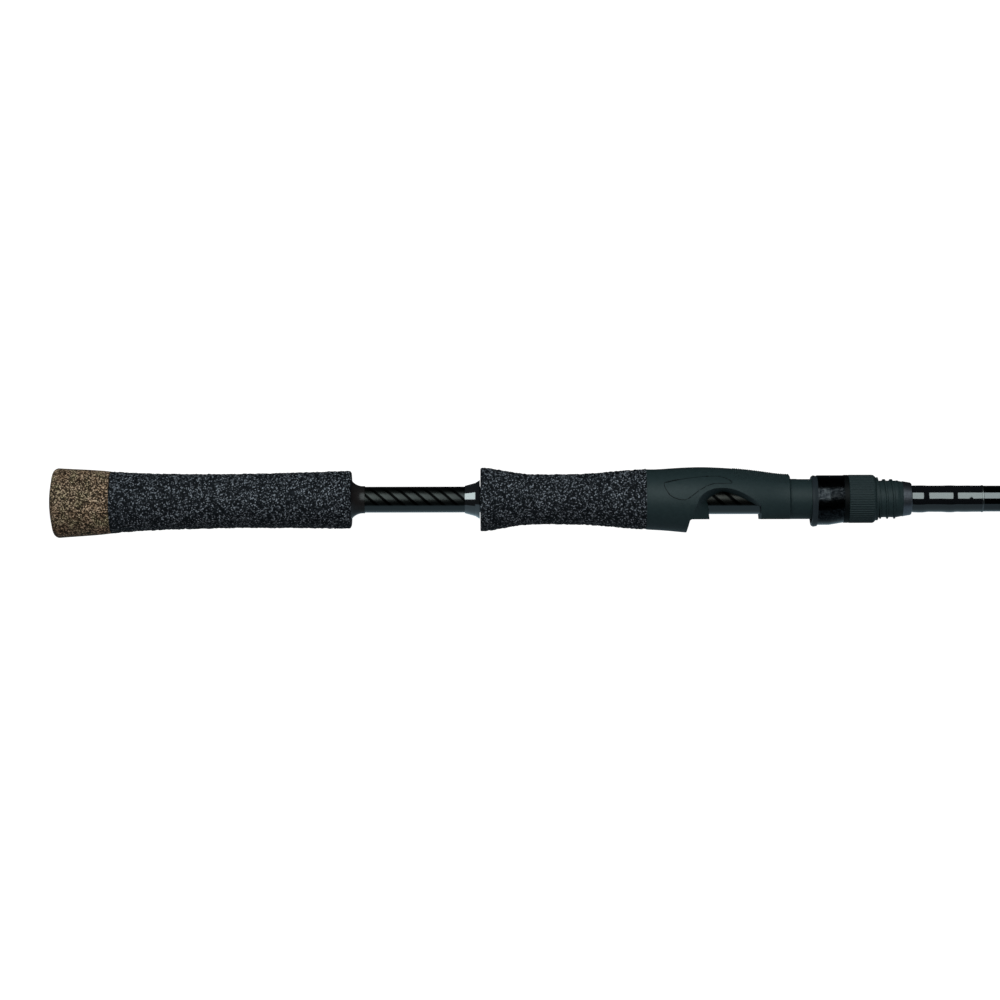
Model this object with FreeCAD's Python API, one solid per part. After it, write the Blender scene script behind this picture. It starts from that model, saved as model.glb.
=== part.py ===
import FreeCAD, Part
import math
import os

# One-piece spinning rod, 7 ft. +X runs along the blank from the butt to the tip,
# +Z is up, and the reel and the guides hang on the -Z side.
# The origin is the centre of the butt end, on the blank's axis. Millimetres.

os.makedirs("parts", exist_ok=True)

V = FreeCAD.Vector

# ---------------------------------------------------------------- driving sizes
# Lengths along the handle, in the order they are stacked on the blank.
ROD_LENGTH = 2134.0
CAP_LENGTH = 26.0
REAR_GRIP_LENGTH = 102.3
REAR_CHECK_LENGTH = 5.6
BARE_BLANK_LENGTH = 42.5
FORE_CHECK_LENGTH = 6.3
FORE_GRIP_LENGTH = 70.6
SWELL_LENGTH = 61.0
SMOOTH_LENGTH = 18.7
THREAD_LENGTH = 27.6
END_LAND = 1.5
END_RING_LENGTH = 3.8

# Blank: a tapered carbon tube.
BLANK_R = 5.5
BLANK_TIP_R = 0.95
BLANK_WALL = 1.1
BLANK_TIP_WALL = 0.5
TAPER_START = 430.0
CAP_FLOOR = 6.0

# Grips.
CAP_R = 14.8
CAP_CORNER = 2.6
CAP_DOME = 1.6
CAP_FRONT_R = 13.2
REAR_WAIST_R = 11.5
REAR_FRONT_R = 12.3
GRIP_EDGE = 1.3
BUTT_DROOP = 1.25
FORE_REAR_R = 13.55
FORE_WAIST_R = 10.6
FORE_FRONT_R = 12.75

# Winding checks: how far they stand over the blank at each end.
CHECK_HEIGHT = 2.75
CHECK_THIN = 0.3

# Reel seat, built up from the blank: walls, and heights over the barrel.
SLEEVE_WALL = 0.85
BARREL_WALL = 2.1
SHOULDER_HEIGHT = 1.9
SHOULDER_ROUND = 1.1
ARCH_HEIGHT = 5.05
LIP_HEIGHT = 5.7
MOUTH_SHARE = 0.295
POCKET_LENGTH = 9.5
POCKET_WIDTH = 14.4
POCKET_HEIGHT = 3.5
LINER_WALL = 0.5
PANEL_DEPTH = 0.25

# Thread of the reel seat, right-handed, one start.
THREAD_PITCH = 3.0
THREAD_DEPTH = 0.65
THREAD_CREST_WIDTH = 0.6
THREAD_ROOT_WIDTH = 1.3
THREAD_PHASE = 1.8
THREAD_FADE = 2.2

# Sliding hood and lock nut, drawn at their rest place on the seat.
SADDLE_OPENING = 9.1
HOOD_RIM = 2.35
HOOD_LENGTH = 13.6
HOOD_BELLY_SHARE = 0.55
HOOD_HEIGHT = 1.5
HOOD_WALL = 0.45
HOOD_DROP = 1.0
RIM_HEIGHT = 2.4
RIM_DROP = 0.9
HOOD_POCKET = 1.75
HOOD_TRAVEL_BACK = 7.5
KEY_WIDTH = 2.6
KEY_DEPTH = 1.25
RING_LENGTH = 1.8
NECK_HEIGHT = 0.6
FLANGE_HEIGHT = 0.95
FLANGE_WIDTH = 1.2
LIP_WIDTH = 1.8
NUT_LENGTH = 12.55
NUT_HEIGHT = 1.7
NUT_RIM_HEIGHT = 0.6
NUT_RIM = 1.05
NUT_ROUND = 1.9
RIB_COUNT = 60
RIB_DEPTH = 0.2

# Fits.
GLUE = 0.05
RUN = 0.05
THREAD_PLAY = 0.12
SIDE_PLAY = 0.1
GAP = 0.15
FOOT_CLEAR = 0.04
INSERT_CLEAR = 0.03

# Thread wraps in front of the seat: length and height over the blank of each.
WRAPS = {"front_wrap_1": (10.2, 0.4), "label_band": (7.3, 0.12), "front_wrap_2": (7.5, 0.3)}
WRAP_GAP = 0.25
VARNISH_LENGTH = 3.8
TRIM_LENGTH = 0.7
TRIM_HEIGHT = 0.2

# Guides: ring size (outside diameter of the insert), distance from the tip, feet.
GUIDES = (
    (25.0, 1264.0, 2),
    (16.0, 1020.0, 2),
    (12.0, 795.0, 2),
    (8.0, 610.0, 1),
    (7.0, 455.0, 1),
    (6.0, 320.0, 1),
    (6.0, 200.0, 1),
    (6.0, 95.0, 1),
)
TIP_RING_SIZE = 6.0
TIP_TUBE_LENGTH = 14.0
WIRE_BASE_R = 0.35
WIRE_SHARE = 0.016
WRAP_HEIGHT = 0.25
WRAP_TAIL = 2.0

# ---------------------------------------------------------------- stations on X
CAP_FRONT = CAP_LENGTH
REAR_GRIP_FRONT = CAP_FRONT + REAR_GRIP_LENGTH
REAR_CHECK_FRONT = REAR_GRIP_FRONT + REAR_CHECK_LENGTH
FORE_CHECK_BACK = REAR_CHECK_FRONT + BARE_BLANK_LENGTH
FORE_GRIP_BACK = FORE_CHECK_BACK + FORE_CHECK_LENGTH
SEAT_BACK = FORE_GRIP_BACK + FORE_GRIP_LENGTH
MOUTH = SEAT_BACK + MOUTH_SHARE * SWELL_LENGTH
SHOULDER = SEAT_BACK + SWELL_LENGTH
THREAD_BACK = SHOULDER + SMOOTH_LENGTH
THREAD_FRONT = THREAD_BACK + THREAD_LENGTH
SEAT_FRONT = THREAD_FRONT + END_LAND
END_RING_FRONT = SEAT_FRONT + END_RING_LENGTH
HOOD_BACK = SHOULDER + SADDLE_OPENING
HOOD_FRONT = HOOD_BACK + HOOD_LENGTH
HOOD_KNEE = HOOD_BACK + HOOD_BELLY_SHARE * HOOD_LENGTH
NUT_BACK = HOOD_FRONT + GAP + RING_LENGTH + GAP
NUT_FRONT = NUT_BACK + NUT_LENGTH
TIP_END = ROD_LENGTH - TIP_RING_SIZE / 2 - 1.2

# ---------------------------------------------------------------- radii
BLANK_BORE_R = BLANK_R + GLUE
CHECK_R = BLANK_R + CHECK_HEIGHT
SLEEVE_R = BLANK_BORE_R + SLEEVE_WALL
SEAT_BORE_R = SLEEVE_R + GLUE
BARREL_R = SEAT_BORE_R + BARREL_WALL
SHOULDER_R = BARREL_R + SHOULDER_HEIGHT
ARCH_R = BARREL_R + ARCH_HEIGHT
LIP_R = BARREL_R + LIP_HEIGHT
POCKET_R = BARREL_R + POCKET_HEIGHT
THREAD_CREST_R = BARREL_R - RUN
THREAD_ROOT_R = THREAD_CREST_R - THREAD_DEPTH
HOOD_R = BARREL_R + HOOD_HEIGHT
RIM_R = BARREL_R + RIM_HEIGHT
NECK_R = BARREL_R + NECK_HEIGHT
FLANGE_R = BARREL_R + FLANGE_HEIGHT
NUT_R = BARREL_R + NUT_HEIGHT
NUT_RIM_R = BARREL_R + NUT_RIM_HEIGHT
FAR = 3 * LIP_R


def blank_r(x):
    """Outer radius of the blank at x: straight through the handle, then an even taper."""
    if x <= TAPER_START:
        return BLANK_R
    share = (x - TAPER_START) / (ROD_LENGTH - TAPER_START)
    return BLANK_R + (BLANK_TIP_R - BLANK_R) * share


def outline(start, *runs):
    """Closed wire in the XZ plane. A run is a corner (x, z), or a list of points:
    two are the middle and end of an arc, more are a smooth curve through them."""
    first = V(start[0], 0, start[1])
    here = first
    edges = []
    for run in runs:
        if isinstance(run, tuple):
            end = V(run[0], 0, run[1])
            edges.append(Part.makeLine(here, end))
        else:
            through = [V(x, 0, z) for x, z in run]
            end = through[-1]
            if len(through) == 2:
                edges.append(Part.Arc(here, through[0], end).toShape())
            else:
                curve = Part.BSplineCurve()
                curve.interpolate([here] + through)
                edges.append(curve.toShape())
        here = end
    if here.distanceToPoint(first) > 0.001:
        edges.append(Part.makeLine(here, first))
    return Part.Wire(edges)


def turned(start, *runs):
    """Solid of revolution about the X axis from an outline of (x, radius) points."""
    return Part.Face(outline(start, *runs)).revolve(V(0, 0, 0), V(1, 0, 0), 360)


def tube(x0, x1, inner, outer):
    return turned((x0, inner), (x0, outer), (x1, outer), (x1, inner))


def bar(x0, x1, radius, drop=0.0):
    """Cylinder along X whose axis lies drop below the blank's axis."""
    return Part.makeCylinder(radius, x1 - x0, V(x0, 0, -drop), V(1, 0, 0))


def block(x0, x1, y0, y1, z0, z1):
    return Part.makeBox(x1 - x0, y1 - y0, z1 - z0, V(x0, y0, z0))


def prism(wire, y0, y1):
    """Outline of the XZ plane made solid from y0 to y1."""
    face = Part.Face(wire)
    face.translate(V(0, y0, 0))
    return face.extrude(V(0, y1 - y0, 0))


def circle(x, radius, z):
    return Part.Wire(Part.makeCircle(radius, V(x, 0, z), V(1, 0, 0)))


def single(shape):
    """The solid itself, when an operation wrapped one solid in a compound."""
    if shape.ShapeType != "Solid" and len(shape.Solids) == 1:
        return shape.Solids[0]
    return shape


def save(shape, name):
    single(shape).exportStep("parts/" + name + ".step")


# ---------------------------------------------------------------- butt and grips
def drooped(shape):
    """Lean towards -Z, pivoted on the blank's axis at the rear grip's front."""
    angle = math.degrees(math.atan2(BUTT_DROOP, REAR_GRIP_FRONT))
    shape.rotate(V(REAR_GRIP_FRONT, 0, 0), V(0, 1, 0), -angle)
    return shape


def butt_cap():
    corner = CAP_CORNER * (1 - math.sqrt(0.5))
    body = turned(
        (0, 0),
        [(CAP_DOME * 0.3, CAP_R * 0.45), (CAP_DOME, CAP_R - CAP_CORNER)],
        [(CAP_DOME + corner, CAP_R - corner), (CAP_DOME + CAP_CORNER, CAP_R)],
        [
            (CAP_LENGTH * 0.4, CAP_R - 0.4),
            (CAP_LENGTH * 0.6, CAP_R - 0.7),
            (CAP_FRONT, CAP_FRONT_R),
        ],
        (CAP_FRONT, 0),
    )
    return drooped(body).cut(bar(CAP_FLOOR, CAP_FRONT + 1, BLANK_BORE_R))


def rear_grip():
    edge = GRIP_EDGE * (1 - math.sqrt(0.5))
    body = turned(
        (CAP_FRONT, 0),
        (CAP_FRONT, CAP_FRONT_R),
        [
            (CAP_FRONT + 0.1 * REAR_GRIP_LENGTH, (CAP_FRONT_R + REAR_WAIST_R) / 2 + 0.1),
            (CAP_FRONT + 0.28 * REAR_GRIP_LENGTH, REAR_WAIST_R + 0.25),
            (CAP_FRONT + 0.5 * REAR_GRIP_LENGTH, REAR_WAIST_R),
            (CAP_FRONT + 0.78 * REAR_GRIP_LENGTH, REAR_WAIST_R + 0.3),
            (REAR_GRIP_FRONT - GRIP_EDGE, REAR_FRONT_R),
        ],
        [(REAR_GRIP_FRONT - edge, REAR_FRONT_R - edge), (REAR_GRIP_FRONT, REAR_FRONT_R - GRIP_EDGE)],
        (REAR_GRIP_FRONT + 1, REAR_FRONT_R - GRIP_EDGE),
        (REAR_GRIP_FRONT + 1, 0),
    )
    beyond = block(REAR_GRIP_FRONT, REAR_GRIP_FRONT + FAR, -FAR, FAR, -FAR, FAR)
    return drooped(body).cut([beyond, bar(CAP_FRONT - 1, REAR_GRIP_FRONT + 1, BLANK_BORE_R)])


def fore_grip():
    edge = GRIP_EDGE * (1 - math.sqrt(0.5))
    back = FORE_GRIP_BACK
    body = turned(
        (back, 0),
        (back, FORE_REAR_R - GRIP_EDGE),
        [(back + edge, FORE_REAR_R - edge), (back + GRIP_EDGE, FORE_REAR_R)],
        [
            (back + 0.11 * FORE_GRIP_LENGTH, FORE_REAR_R - 0.9),
            (back + 0.24 * FORE_GRIP_LENGTH, FORE_WAIST_R + 0.5),
            (back + 0.45 * FORE_GRIP_LENGTH, FORE_WAIST_R),
            (back + 0.66 * FORE_GRIP_LENGTH, FORE_WAIST_R + 0.35),
            (back + 0.86 * FORE_GRIP_LENGTH, FORE_FRONT_R - 0.6),
            (SEAT_BACK, FORE_FRONT_R),
        ],
        (SEAT_BACK, 0),
    )
    return body.cut(bar(back - 1, SEAT_BACK + 1, BLANK_BORE_R))


def rear_winding_check():
    back = REAR_GRIP_FRONT
    front = REAR_CHECK_FRONT
    return turned(
        (back, BLANK_BORE_R),
        (back, CHECK_R),
        [
            (back + 0.42 * REAR_CHECK_LENGTH, BLANK_BORE_R + 0.28 * CHECK_HEIGHT),
            (front, BLANK_BORE_R + CHECK_THIN),
        ],
        (front, BLANK_BORE_R),
    )


def fore_winding_check():
    back = FORE_CHECK_BACK
    front = FORE_GRIP_BACK
    return turned(
        (back, BLANK_BORE_R),
        (back, BLANK_BORE_R + CHECK_THIN),
        (front - 0.3 * FORE_CHECK_LENGTH, BLANK_BORE_R + 0.55 * CHECK_HEIGHT),
        (front, CHECK_R),
        (front, BLANK_BORE_R),
    )


# ---------------------------------------------------------------- reel seat
# Side outline of the palm swell: share of its length, top, bottom.
SWELL = (
    (0.0, FORE_FRONT_R, FORE_FRONT_R + 0.1),
    (0.098, FORE_FRONT_R + 0.05, FORE_FRONT_R + 0.5),
    (0.197, ARCH_R - 0.4, LIP_R - 0.5),
    (MOUTH_SHARE, ARCH_R - 0.1, LIP_R),
    (0.393, ARCH_R, LIP_R),
    (0.508, ARCH_R - 0.25, LIP_R - 0.5),
    (0.672, ARCH_R - 1.0, LIP_R - 1.4),
    (0.836, ARCH_R - 2.25, LIP_R - 2.7),
    (1.0, SHOULDER_R, SHOULDER_R),
)


def swell(inset=0.0):
    """Smooth solid through round sections, each given by its top and bottom."""
    sections = []
    for share, top, bottom in SWELL:
        radius = (top + bottom) / 2 - inset
        sections.append(circle(place(share), radius, (top - bottom) / 2))
    return Part.makeLoft(sections, True, False)


def place(share):
    """X of a point at a share of the palm swell's length."""
    return SEAT_BACK + share * SWELL_LENGTH


def placed(*points):
    """Points of the swell's side view, each given as a share of its length and a height."""
    return [(place(share), z) for share, z in points]


def saddle_cut():
    """Everything under the reel foot, from the leaning mouth of the fixed hood forwards."""
    return prism(
        outline(
            (MOUTH - 2.6, -FAR / 2),
            (MOUTH + 0.1, -BARREL_R - 0.9),
            [(MOUTH + 0.5, -BARREL_R - 0.25), (MOUTH + 1.4, -BARREL_R)],
            (HOOD_BACK, -BARREL_R),
            (HOOD_BACK, -FAR / 2),
        ),
        -FAR,
        FAR,
    )


def foot_pocket(radius, half_width, back, front):
    """Crescent space between the barrel and an outer radius, on the -Z side."""
    ring = tube(back, front, BARREL_R, radius)
    return ring.common(block(back, front, -half_width, half_width, -FAR, 0))


def window_outline(side):
    """Arched opening of the seat: the inner edge, and the wider edge of its bevel."""
    if side == "inner":
        start, rise = placed((0.461, -FAR / 2), (0.423, -0.4))
        arch = placed((0.459, 1.2), (0.53, 3.1), (0.593, 2.2), (0.675, 0.0), (0.79, -3.3))
    else:
        start, rise = placed((0.1, -FAR / 2), (0.345, -1.8))
        arch = placed((0.405, 3.4), (0.505, 5.3), (0.59, 4.9), (0.68, 2.7), (0.79, -1.9))
    return outline(start, rise, arch, (place(0.802), -FAR / 2))


def window_cut():
    """Tapered cut from each side, meeting at the sleeve."""
    inner = window_outline("inner")
    pieces = [prism(inner, -SEAT_BORE_R, SEAT_BORE_R)]
    for side in (-1, 1):
        near = inner.copy()
        near.translate(V(0, side * (SEAT_BORE_R - 0.6), 0))
        far = window_outline("outer")
        far.translate(V(0, side * LIP_R, 0))
        pieces.append(Part.makeLoft([near, far], True, True))
    return pieces[0].multiFuse(pieces[1:])


def panel_recess():
    """Leaf-shaped side panels, sunk a little below the skin on both sides."""
    tail = (0.118, 7.0)
    leaf = outline(
        (place(tail[0]), tail[1]),
        placed((0.272, 8.8), (0.42, 9.7), (0.495, 9.7), (0.551, 8.8), (0.588, 7.3)),
        (place(0.58), 6.5),
        (place(0.46), 6.5),
        placed((0.41, 5.5), (0.362, 3.8), (0.31, 1.4), (0.267, -0.3)),
        placed((0.225, -0.3), (0.181, 0.75), (0.143, 3.0), (0.121, 5.2), tail),
    )
    return prism(leaf, -FAR, FAR).cut(swell(PANEL_DEPTH))


def thread_coil(x0, x1, inner, crest, half_root, half_crest):
    """Helical ridge about the X axis, in step with the seat's thread at every length."""
    datum = THREAD_BACK + THREAD_PHASE
    turns_back = math.ceil((datum - x0) / THREAD_PITCH) + 1
    start = datum - turns_back * THREAD_PITCH
    height = x1 - start + THREAD_PITCH
    spine = Part.Wire(Part.makeHelix(THREAD_PITCH, height, crest).Edges)
    profile = Part.makePolygon([
        V(inner, 0, -half_root),
        V(crest, 0, -half_crest),
        V(crest, 0, half_crest),
        V(inner, 0, half_root),
        V(inner, 0, -half_root),
    ])
    coil = Part.Wire(spine).makePipeShell([profile], True, True)
    coil.rotate(V(0, 0, 0), V(0, 1, 0), 90)
    coil.translate(V(start, 0, 0))
    return coil


def thread_ridge():
    """The seat's external thread, faded out at both ends by a turned envelope."""
    coil = thread_coil(
        THREAD_BACK,
        THREAD_FRONT,
        THREAD_ROOT_R - 0.3,
        THREAD_CREST_R,
        THREAD_ROOT_WIDTH / 2,
        THREAD_CREST_WIDTH / 2,
    )
    envelope = turned(
        (THREAD_BACK, 0),
        (THREAD_BACK, THREAD_CREST_R + 0.2),
        (THREAD_FRONT - THREAD_FADE, THREAD_CREST_R + 0.2),
        (THREAD_FRONT, THREAD_ROOT_R - 0.2),
        (THREAD_FRONT, 0),
    )
    return coil.common(envelope)


def barrel():
    """Turned front half of the seat: shoulder, smooth barrel and the thread's core."""
    return turned(
        (SHOULDER - 20, 0),
        (SHOULDER - 20, BARREL_R),
        (THREAD_BACK, BARREL_R),
        (THREAD_BACK, THREAD_ROOT_R),
        (THREAD_FRONT - 1.0, THREAD_ROOT_R),
        (SEAT_FRONT, THREAD_ROOT_R - 0.5),
        (SEAT_FRONT, 0),
    )


def shoulder_round():
    """What is removed to round the swell's front corner over."""
    return turned(
        (SHOULDER - SHOULDER_ROUND, SHOULDER_R + 0.15),
        [
            (SHOULDER - 0.3 * SHOULDER_ROUND, SHOULDER_R - 0.2),
            (SHOULDER, SHOULDER_R - SHOULDER_ROUND),
        ],
        (SHOULDER, BARREL_R),
        (SHOULDER + 1, BARREL_R),
        (SHOULDER + 1, SHOULDER_R + 3),
        (SHOULDER - SHOULDER_ROUND, SHOULDER_R + 3),
    )


def key_slot():
    """Groove on top of the barrel that keeps the sliding hood from turning."""
    back = HOOD_BACK + HOOD_RIM - HOOD_TRAVEL_BACK - 1.0
    half = KEY_WIDTH / 2 + SIDE_PLAY
    return block(back, SEAT_FRONT + 1, -half, half, BARREL_R - KEY_DEPTH - GAP, FAR)


def reel_seat_body():
    body = swell().cut(shoulder_round()).fuse(barrel()).fuse(thread_ridge())
    pocket = foot_pocket(POCKET_R, POCKET_WIDTH / 2, MOUTH - POCKET_LENGTH, MOUTH + 3)
    cuts = [saddle_cut(), pocket, window_cut(), panel_recess(), key_slot()]
    cuts.append(bar(SEAT_BACK - 1, SEAT_FRONT + 1, SEAT_BORE_R))
    return body.cut(cuts)


def fixed_hood_liner():
    """Thin cushion that lines the outer wall of the fixed hood's pocket."""
    half = POCKET_WIDTH / 2 - GLUE
    outer = POCKET_R - GLUE
    back = MOUTH - POCKET_LENGTH
    shell = tube(back, MOUTH - 1.2, outer - LINER_WALL, outer)
    return shell.common(block(back, MOUTH, -half, half, -FAR, -BARREL_R))


def seat_sleeve():
    return tube(SEAT_BACK, SEAT_FRONT, BLANK_BORE_R, SLEEVE_R)


def end_ring():
    """Turned ring that closes the seat's front end and steps down to the blank."""
    start_r = THREAD_ROOT_R - 0.35
    front_r = start_r - 0.6
    corner = 0.35
    return turned(
        (SEAT_FRONT, BLANK_BORE_R),
        (SEAT_FRONT, start_r),
        (END_RING_FRONT - corner, front_r),
        (END_RING_FRONT, front_r - corner),
        (END_RING_FRONT, BLANK_BORE_R),
    )


# ---------------------------------------------------------------- sliding hood
def belly(radius, back, drop=HOOD_DROP):
    """Round section that hangs low over the reel foot, then rises to the barrel's axis."""
    low_r = radius + drop / 2
    sections = [
        circle(back, low_r, -drop / 2),
        circle(HOOD_KNEE, low_r, -drop / 2),
        circle(HOOD_FRONT, radius, 0),
    ]
    return Part.makeLoft(sections, True, True)


def sliding_hood():
    """Thin metal shell over the liner."""
    back = HOOD_BACK + HOOD_RIM
    return belly(HOOD_R, back).cut(belly(HOOD_R - HOOD_WALL, back))


def sliding_hood_liner():
    """Plastic liner: flared rim, reel-foot pocket, key, and the flange that holds the nut."""
    shell_back = HOOD_BACK + HOOD_RIM
    inner_r = HOOD_R - HOOD_WALL - GLUE
    core = belly(inner_r, shell_back - 0.5)
    rim_section = [
        circle(HOOD_BACK, RIM_R - 0.5, -RIM_DROP),
        circle(HOOD_BACK + 0.35 * HOOD_RIM, RIM_R, -RIM_DROP),
        circle(shell_back, RIM_R - 0.3, -RIM_DROP),
    ]
    rim = Part.makeLoft(rim_section, True, True)
    flange_back = NUT_BACK + LIP_WIDTH + SIDE_PLAY
    neck = bar(HOOD_FRONT - 1, flange_back + FLANGE_WIDTH, NECK_R)
    flange = bar(flange_back, flange_back + FLANGE_WIDTH, FLANGE_R)
    body = core.multiFuse([rim, neck, flange])
    body = body.cut(bar(HOOD_BACK - 1, NUT_FRONT, BARREL_R + RUN))
    pocket_r = BARREL_R + HOOD_POCKET - HOOD_DROP
    pocket = bar(HOOD_BACK - 1, HOOD_KNEE + 2, pocket_r, HOOD_DROP)
    side = POCKET_WIDTH / 2
    pocket = pocket.common(block(HOOD_BACK - 1, HOOD_FRONT, -side, side, -FAR, -3))
    half = KEY_WIDTH / 2
    key = block(shell_back, HOOD_FRONT - 2, -half, half, BARREL_R - KEY_DEPTH, BARREL_R + 0.5)
    return body.cut(pocket).fuse(key)


def hood_ring():
    back = HOOD_FRONT + GAP
    return tube(back, back + RING_LENGTH, NECK_R + GLUE, NUT_R - GLUE)


def lock_nut():
    """Ribbed nut, snapped over the liner's flange and running on the seat's thread."""
    shoulder = NUT_FRONT - NUT_RIM
    turn = NUT_ROUND * (1 - math.sqrt(0.5))
    body = turned(
        (NUT_BACK, 0),
        (NUT_BACK, NUT_R - 0.3),
        (NUT_BACK + 0.3, NUT_R),
        (shoulder - NUT_ROUND, NUT_R),
        [(shoulder - turn, NUT_R - turn * 0.6), (shoulder, NUT_RIM_R + 0.1)],
        (shoulder, NUT_RIM_R),
        (NUT_FRONT, NUT_RIM_R),
        (NUT_FRONT, 0),
    )
    pitch_angle = 360 / RIB_COUNT
    groove_r = 0.9 * RIB_DEPTH + 0.25
    grooves = []
    for index in range(RIB_COUNT):
        cutter = bar(NUT_BACK - 1, shoulder, groove_r, -(NUT_R + groove_r - RIB_DEPTH))
        cutter.rotate(V(0, 0, 0), V(1, 0, 0), pitch_angle * (index + 0.5))
        grooves.append(cutter)
    minor_r = THREAD_ROOT_R + GAP
    lip_front = NUT_BACK + LIP_WIDTH
    groove_front = lip_front + SIDE_PLAY + FLANGE_WIDTH + GAP
    cuts = grooves + [
        bar(NUT_BACK - 1, NUT_FRONT + 1, minor_r),
        bar(NUT_BACK - 1, lip_front + 0.5, NECK_R + SIDE_PLAY),
        bar(lip_front, groove_front, FLANGE_R + SIDE_PLAY),
        bar(NUT_FRONT - NUT_RIM, NUT_FRONT + 1, THREAD_CREST_R + 2 * GAP),
    ]
    body = body.cut(cuts)
    coil = thread_coil(
        groove_front,
        NUT_FRONT,
        THREAD_ROOT_R - 0.3,
        THREAD_CREST_R + GAP,
        THREAD_ROOT_WIDTH / 2 + THREAD_PLAY,
        THREAD_CREST_WIDTH / 2 + THREAD_PLAY,
    )
    reach = bar(groove_front - 0.2, NUT_FRONT - NUT_RIM + 0.2, NUT_R)
    return body.cut(coil.common(reach))


# ---------------------------------------------------------------- blank and its wraps
def blank():
    wall_r = BLANK_R - BLANK_WALL
    return turned(
        (CAP_FLOOR, wall_r),
        (CAP_FLOOR, BLANK_R),
        (TAPER_START, BLANK_R),
        (TIP_END, blank_r(TIP_END)),
        (TIP_END, blank_r(TIP_END) - BLANK_TIP_WALL),
        (TAPER_START, wall_r),
    )


def round_wrap(back, front, height, base=0.0):
    """Varnished winding round the blank: a sleeve with softly rounded ends."""
    inner = blank_r(back) + GLUE + base
    ends = min(0.5, (front - back) / 4)
    thin = inner + 0.06
    full = inner + height
    return turned(
        (back, inner),
        (back, thin),
        [(back + 0.3 * ends, thin + 0.7 * (full - thin)), (back + ends, full)],
        (front - ends, full),
        [(front - 0.3 * ends, thin + 0.7 * (full - thin)), (front, thin)],
        (front, inner),
    )


def front_windings():
    """Windings ahead of the seat, then a varnished stretch closed by a trim band."""
    pieces = {}
    at = END_RING_FRONT + WRAP_GAP
    for name, (length, height) in WRAPS.items():
        pieces[name] = round_wrap(at, at + length, height)
        at += length + WRAP_GAP
    at += VARNISH_LENGTH
    pieces["trim_band"] = round_wrap(at, at + TRIM_LENGTH, TRIM_HEIGHT)
    return pieces


# ---------------------------------------------------------------- guides
def wire(start, end, radius):
    """Straight round wire with ball ends, turned about its own axis."""
    along = end - start
    bulge = radius * math.sqrt(0.5)
    shank = turned(
        (-radius, 0),
        [(-bulge, bulge), (0, radius)],
        (along.Length, radius),
        [(along.Length + bulge, bulge), (along.Length + radius, 0)],
    )
    shank.Placement = FreeCAD.Placement(start, FreeCAD.Rotation(V(1, 0, 0), along))
    return shank


def guide_sizes(size, x, feet=1):
    """Sizes of one guide, all from its ring size and its place on the blank."""
    surface = blank_r(x) + FOOT_CLEAR
    wire_r = WIRE_BASE_R + WIRE_SHARE * size
    return {
        "x": x,
        "ring_r": size / 2,
        "hole_r": size / 2 * 0.72,
        "wide": 1.2 + 0.05 * size,
        "hoop_r": size / 2 + 0.45 + 0.02 * size,
        "wire_r": wire_r,
        "drop": surface + size * 0.72 + 3.0,
        "foot_length": 7.0 + 0.3 * size,
        "foot_width": 1.4 + 0.06 * size,
        "foot_height": 0.5 + 0.02 * size,
        "reach": 3.0 + 0.8 * size,
        "bare": wire_r * (4.0 if feet == 2 else 7.0),
    }


def seat_r(g, direction):
    """Radius of the blank where a foot lies, at the stouter end of its winding."""
    tail = g["foot_length"] + WRAP_TAIL if direction < 0 else 0
    return blank_r(g["x"] + direction * (g["reach"] + tail)) + FOOT_CLEAR


def guide_ring(g):
    """Ceramic insert: rounded on the line's side, with a flat land in the middle."""
    half = g["wide"] / 2
    land = half * 0.35
    bulge = g["ring_r"] - (g["ring_r"] - g["hole_r"]) * 0.45
    ring = turned(
        (-half, g["ring_r"]),
        (-half, bulge),
        [(-half * 0.75, g["hole_r"] + 0.12 * (bulge - g["hole_r"])), (-land, g["hole_r"])],
        (land, g["hole_r"]),
        [(half * 0.75, g["hole_r"] + 0.12 * (bulge - g["hole_r"])), (half, bulge)],
        (half, g["ring_r"]),
    )
    ring.translate(V(g["x"], 0, -g["drop"]))
    return ring


def guide_foot(g, direction):
    """Flat foot on the underside of the blank, thinned towards its far end."""
    near = g["x"] + direction * g["reach"]
    far = near + direction * g["foot_length"]
    top = -seat_r(g, direction)
    low = top - g["foot_height"]
    half = g["foot_width"] / 2
    side = outline((near, top), (far, top), (far, top - 0.3 * g["foot_height"]), (near, low))
    return prism(side, -half, half)


def guide_frame(g, feet):
    """Hoop round the insert, wire legs, and one foot towards the tip or one each way."""
    half = g["wide"] / 2
    hoop = tube(-half * 0.85, half * 0.85, g["ring_r"] + INSERT_CLEAR, g["hoop_r"])
    hoop.translate(V(g["x"], 0, -g["drop"]))
    legs = [(1, 40.0, 1.0), (-1, 100.0, 1.0)] if feet == 2 else [(1, 50.0, 1.0), (1, 110.0, 4.0)]
    frame = hoop
    for direction, angle, along in legs:
        turn = math.radians(angle)
        knee_x = g["x"] + direction * (g["reach"] + along * g["wire_r"])
        for side in (-1, 1):
            start = V(
                g["x"],
                side * g["hoop_r"] * math.sin(turn),
                -g["drop"] + g["hoop_r"] * math.cos(turn),
            )
            end_y = side * (g["foot_width"] / 2 - g["wire_r"] * 0.7)
            end_z = -seat_r(g, direction) - g["foot_height"] * 0.6 - g["wire_r"] * 0.3
            frame = frame.fuse(wire(start, V(knee_x, end_y, end_z), g["wire_r"]))
    for direction in sorted({leg[0] for leg in legs}):
        frame = frame.fuse(guide_foot(g, direction))
    hole = bar(g["x"] - half - 0.05, g["x"] + half + 0.05, g["ring_r"] + INSERT_CLEAR, g["drop"])
    return frame.cut(hole)


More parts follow.
